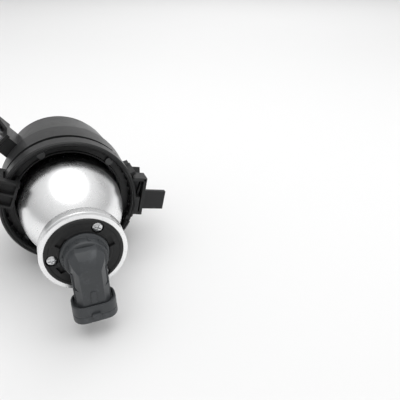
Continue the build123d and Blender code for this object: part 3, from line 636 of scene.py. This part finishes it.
# the socket's head is lofted back along the lamp and its arm downwards, each ring an eight-sided outline
socket = {
    "middle": (0, 147.1), "bottom": -33.0, "top": -21.6, "width": 25.0, "depth": 16.0, "corner": 6.5,
    "wall": 1.8, "pocket": 9.5, "collarDepth": 1.8, "collar": (22.2, 14.4, 5.6),
    "head": [
        (140.9, (-9.75, 9.75), (-13.4, 9.75), 3.8),
        (146.4, (-9.6, 9.6), (-13.8, 9.4), 3.8),
        (150.6, (-8.2, 8.2), (-14.6, 6.6), 3.6),
        (153.6, (-5.9, 5.9), (-15.6, 2.4), 2.6),
    ],
    "arm": [
        (-11.6, (-9.2, 9.2), (140.7, 153.5), 3.4),
        (-18.6, (-9.1, 9.1), (140.8, 153.5), 3.2),
        (-21.0, (-9.3, 9.3), (140.7, 153.6), 3.2),
        (-23.6, (-9.3, 9.3), (140.7, 153.6), 3.2),
    ],
    "cup": [
        (-21.6, 24.2, 15.2, 6.2), (-22.1, 24.8, 15.8, 6.4), (-27.6, 24.9, 15.9, 6.45),
        (-28.0, 24.4, 15.4, 6.2), (-28.5, 24.4, 15.4, 6.2),
        (-28.9, 25.0, 16.0, 6.5), (-33.0, 25.0, 16.0, 6.5),
    ],
    "catch": ((-2.4, 2.4), (154.8, 156.5), (-30, -26.6)),
    "backRib": ((-1.5, 1.5), (153.0, 154.1), (-20.6, -12.5)),
    "flankRib": ((8.6, 9.9), (145.6, 148.6), (-21.6, -2.0)),
}
head = Shape()
head.loft([[(x, y, z) for x, z in chamfered(xs, zs, corner)] for y, xs, zs, corner in socket["head"]])
headPiece = head.thing("socket")
arm = Shape()
arm.loft([[(x, y, z) for x, y in chamfered(xs, ys, corner)] for z, xs, ys, corner in socket["arm"]])
cut(headPiece, arm, "UNION")
cup = Shape()
cup.loft([
    [(x, y, z) for x, y in roundedBox(width, depth, corner, socket["middle"])]
    for z, width, depth, corner in socket["cup"]
])
cupPiece = cup.thing("socket_cup")
innerWidth, innerDepth = (socket[size] - 2 * socket["wall"] for size in ("width", "depth"))
pocket = roundedBox(innerWidth, innerDepth, socket["corner"] - socket["wall"], socket["middle"])
cupCuts = Shape()
cupCuts.prism(pocket, socket["bottom"] - 1, socket["bottom"] + socket["pocket"])
collar = roundedBox(*socket["collar"], socket["middle"])
cupCuts.prism(collar, socket["top"] - socket["collarDepth"], socket["top"] + 1)
cut(cupPiece, cupCuts)
extras = Shape()
extras.block(*socket["catch"])
extras.block(*socket["backRib"])
(nearX, farX), ribYs, ribZs = socket["flankRib"]
for flank in ((-farX, -nearX), (nearX, farX)):
    extras.block(flank, ribYs, ribZs)
extrasPiece = extras.thing("socket_extras")
finished(headPiece, "bulb", "dark_grey_plastic", ["connector_housing"], 0.45, 3)
finished(cupPiece, "bulb", "dark_grey_plastic", (), 0.3, 2)
finished(extrasPiece, "bulb", "dark_grey_plastic", (), 0.35, 2)
print("socket made")

# the side bracket: a pad with a loop, an ear, two slanted braces and an anchor further round
side = {
    "blocks": [
        ((43.6, 47.2), (54, 75), (-7, 7)),
        ((46.8, 48.2), (54.2, 60.6), (-3.6, 3.6)),
        ((48.3, 50.6), (66, 74.6), (-21, 7.5)),
        ((40.5, 50.6), (64, 74.6), (-21.6, -19.3)),
        ((46.5, 49), (66, 74.6), (5.0, 7.4)),
    ],
    "diagonal": [(45.0, -4), (46.6, -4), (49.6, -19.6), (48.0, -19.6)],
    "diagonalAlong": (67, 70.5),
    "ear": [(44, -7.5), (69.8, -7.5), (70, -7.3), (70, 7.3), (69.8, 7.5), (44, 7.5)],
    "earAlong": (62, 65),
    "earRibs": [((47.8, 52.6), (59.5, 62.2), (-1.2, 1.2)), ((47.8, 52.6), (59.5, 62.2), (4.6, 6.6))],
    "gusset": [(48.0, 61.0), (51.5, 62.1), (48.0, 66.5)],
    "gussetRounds": [(-6.9, -5.3), (5.3, 6.9)],
    "braceEnds": [(-7.5, -21.8), (0.1, -14.2)], "braceAlong": (63.5, 53.4), "braceWidth": 2.4,
    "braceReach": (43.6, 50.4),
    "anchorTurn": 25,
    "anchorBlocks": [((42.5, 47.9), (47.9, 58.9), (-5, 5)), ((44.8, 48.6), (54, 70.5), (-5, -2.6))],
}
sideFrame = turnedFrame(sideAngle)
bracket = Shape()
for reach in side["blocks"]:
    bracket.block(*reach, sideFrame)
bracket.upright(side["diagonal"], *side["diagonalAlong"], sideFrame)
bracket.upright(side["ear"], *side["earAlong"], sideFrame)
for reach in side["earRibs"]:
    bracket.block(*reach, sideFrame)
for low, high in side["gussetRounds"]:
    bracket.prism(side["gusset"], low, high, sideFrame)
backY, frontY = side["braceAlong"]
wide = side["braceWidth"]
for near, far in side["braceEnds"]:
    legs = [(backY, near), (backY, near + wide), (frontY, far + wide), (frontY, far)]
    bracket.facing(legs, *side["braceReach"], sideFrame)
for reach in side["anchorBlocks"]:
    bracket.block(*reach, turnedFrame(sideAngle + side["anchorTurn"]))
finished(bracket.thing("ear_bracket"), "housing", "black_plastic", ["side_bracket"], 0.4, 2)

# the clip hooks over the ring: two pockets in its back and two in its outer face
clip = {
    "angle": 155, "rounds": (-9, 9),
    "hook": [
        (35.6, 68.5), (38.0, 68.5), (38.0, 75.02), (45.2, 75.02), (45.2, 64.3), (43.2, 64.3), (43.2, 60.3),
        (47.7, 60.3), (47.7, 80), (35.6, 80),
    ],
    "backPocket": ((37.4, 46.0), (76.6, 82)), "backRounds": [(-7.4, -0.8), (0.8, 7.4)],
    "facePocket": ((46.6, 49), (63, 78)), "faceRounds": [(-5, -1.4), (1.4, 5)],
    "spikeAngle": 142.5,
    "spike": [((36.0, 38.4), 74.9, (-1.2, 1.2)), ((36.6, 37.6), 83.4, (-0.4, 0.4))],
}
clipFrame = turnedFrame(clip["angle"])
hook = Shape()
hook.prism(clip["hook"], *clip["rounds"], clipFrame)
pockets = Shape()
for rounds in clip["backRounds"]:
    pockets.block(*clip["backPocket"], rounds, clipFrame)
for rounds in clip["faceRounds"]:
    pockets.block(*clip["facePocket"], rounds, clipFrame)
finished(cut(hook.thing("ring_clip"), pockets), "housing", "black_trim", ["latch_box"], 0.3, 2)
spike = Shape()
spike.loft([
    [(near, y, low), (far, y, low), (far, y, high), (near, y, high)]
    for (near, far), y, (low, high) in clip["spike"]
], turnedFrame(clip["spikeAngle"]))
finished(spike.thing("clip_spike"), "housing", "black_trim", (), 0.15, 2)
print("brackets and clip made")

# the top bracket: an upright plate with two holes and two round corners, on a foot with two gussets
top = {
    "holes": ((54.6, -18.0), (70.1, -18.0)), "holeRadius": 4.15, "holeAlong": (5, 20),
    "foot": 50.5, "reach": 74.1, "rounds": (-26.0, 1.0), "corner": 9.0, "cornerSteps": 8, "along": (10.8, 14),
    "footBlock": ((50.52, 53.1), (10.9, 39), (-13, 1)),
    "gusset": [(52.8, 13.6), (62.0, 13.6), (60.5, 15.2), (54.6, 22.6), (52.8, 24)],
    "gussetRounds": [(-12.9, -10.9), (-1.1, 0.9)],
}
topFrame = turnedFrame(topAngle)
lowRound, highRound = top["rounds"]
cornerHeart = top["reach"] - top["corner"]
outline = [(top["foot"], lowRound)]
for centre, start in ((lowRound + top["corner"], -90), (highRound - top["corner"], 0)):
    for step in range(top["cornerSteps"] + 1):
        turn = math.radians(start + 90 * step / top["cornerSteps"])
        outward = cornerHeart + top["corner"] * math.cos(turn)
        outline.append((outward, centre + top["corner"] * math.sin(turn)))
outline.append((top["foot"], highRound))
topPlate = Shape()
topPlate.upright(outline, *top["along"], topFrame)
holes = Shape()
for place in top["holes"]:
    holes.upright(circle(place, top["holeRadius"]), *top["holeAlong"], topFrame)
finished(cut(topPlate.thing("top_plate"), holes), "housing", "black_plastic", ["top_bracket"], 0.4, 2)
topFoot = Shape()
topFoot.block(*top["footBlock"], topFrame)
for low, high in top["gussetRounds"]:
    topFoot.prism(top["gusset"], low, high, topFrame)
finished(topFoot.thing("top_foot"), "housing", "black_plastic", (), 0.35, 2)

knob = {
    "radius": 2.3, "along": (67.2, 80.5), "steps": 36,
    "slot": (33.4, 41.4), "slotAlong": (79.3, 82), "slit": 0.45,
}
knobShape = Shape()
knobShape.rod(adjusterAngle, adjusterCircle, knob["radius"], *knob["along"], knob["steps"])
driverSlot = Shape()
driverSlot.block(knob["slot"], knob["slotAlong"], (-knob["slit"], knob["slit"]), turnedFrame(adjusterAngle))
finished(cut(knobShape.thing("knob"), driverSlot), "adjuster", "black_trim", ["adjuster_knob"], 0.3, 2)
print("all pieces made")

# a pale paper sweep: flat under the lamp, bent up behind it as seen from the camera
floor = {
    "tone": 0.76, "away": (-0.4, -0.917), "front": -2.5, "back": 2.6, "bend": 0.9, "top": 2.4, "half": 4.0,
    "steps": 24,
}
profile = [(floor["front"], 0)]
for step in range(floor["steps"] + 1):
    turn = math.radians(90 * step / floor["steps"])
    profile.append((floor["back"] + floor["bend"] * math.sin(turn), floor["bend"] * (1 - math.cos(turn))))
profile.append((floor["back"] + floor["bend"], floor["top"]))
away = Vector(floor["away"] + (0,)).normalized()
across = Vector((-away.y, away.x, 0))
sweep = bmesh.new()
rows = [
    [
        sweep.verts.new(away * distance + across * edge + Vector((0, 0, floorZ + rise)))
        for distance, rise in profile
    ]
    for edge in (-floor["half"], floor["half"])
]
for step in range(len(profile) - 1):
    sweep.faces.new((rows[0][step], rows[0][step + 1], rows[1][step + 1], rows[1][step]))
for face in sweep.faces:
    face.smooth = True
    if face.normal.z < 0:
        face.normal_flip()
sweepMesh = bpy.data.meshes.new("backdrop")
sweep.to_mesh(sweepMesh)
sweep.free()
backdrop = bpy.data.objects.new("backdrop", sweepMesh)
bpy.context.scene.collection.objects.link(backdrop)
paper = Paint("backdropPaper", Roughness=0.8, Specular_IOR_Level=0.1)
paperTone = paper.mix(paper.noise(1.4, 2), grey(floor["tone"]), grey(floor["tone"] * 1.03))
backdrop.data.materials.append(paper.feed(Base_Color=paperTone))

# the room's light grows brighter from below to above
room = {"stops": ((0.0, 0.38), (0.5, 0.5), (0.62, 0.66), (0.8, 0.92), (1.0, 1.0)), "strength": 0.86}
world = bpy.data.worlds.new("paleRoom")
bpy.context.scene.world = world
world.use_nodes = True
nodes = world.node_tree.nodes
links = world.node_tree.links
ray = nodes.new("ShaderNodeTexCoord")
split = nodes.new("ShaderNodeSeparateXYZ")
height = nodes.new("ShaderNodeMapRange")
height.inputs["From Min"].default_value = -1.0
shade = nodes.new("ShaderNodeValToRGB")
for number, (position, level) in enumerate(room["stops"]):
    stop = shade.color_ramp.elements.new(position) if number > 1 else shade.color_ramp.elements[number]
    stop.position = position
    stop.color = grey(level)
links.new(ray.outputs["Generated"], split.inputs[0])
links.new(split.outputs["Z"], height.inputs["Value"])
links.new(height.outputs[0], shade.inputs[0])
links.new(shade.outputs[0], nodes["Background"].inputs["Color"])
nodes["Background"].inputs["Strength"].default_value = room["strength"]

# place, aim, width, power, and whether it shows in reflections
softboxes = {
    "keyBox": ((-0.02, 0.02, 0.95), (0, 0.08, 0), 1.25, 5.2, True),
    "fillBox": ((-0.9, 0.5, 0.7), (0, 0.08, 0), 0.9, 2.0, False),
    "backBox": ((-0.9, -1.4, 1.5), (-0.9, -2.2, 0), 2.0, 14.0, False),
}
for boxName, (place, aim, size, power, mirrored) in softboxes.items():
    light = bpy.data.lights.new(boxName, "AREA")
    light.shape = "DISK"
    light.size = size
    light.energy = power
    lamp = bpy.data.objects.new(boxName, light)
    lamp.location = place
    lamp.visible_glossy = mirrored
    lamp.rotation_euler = (Vector(aim) - lamp.location).to_track_quat("-Z", "Y").to_euler()
    bpy.context.scene.collection.objects.link(lamp)

camera = {
    "place": (0.0113, 0.3376, 0.1424), "toward": (-0.3251, -0.8090, -0.4875),
    "lens": 37.8, "sensor": 36.0,
}
eye = bpy.data.objects.new("camera", bpy.data.cameras.new("camera"))
eye.data.lens = camera["lens"]
eye.data.sensor_width = camera["sensor"]
eye.location = camera["place"]
eye.rotation_euler = Vector(camera["toward"]).to_track_quat("-Z", "Y").to_euler()
bpy.context.scene.collection.objects.link(eye)
bpy.context.scene.camera = eye
bpy.context.scene.view_settings.view_transform = "Standard"
print("floor, light and camera placed")
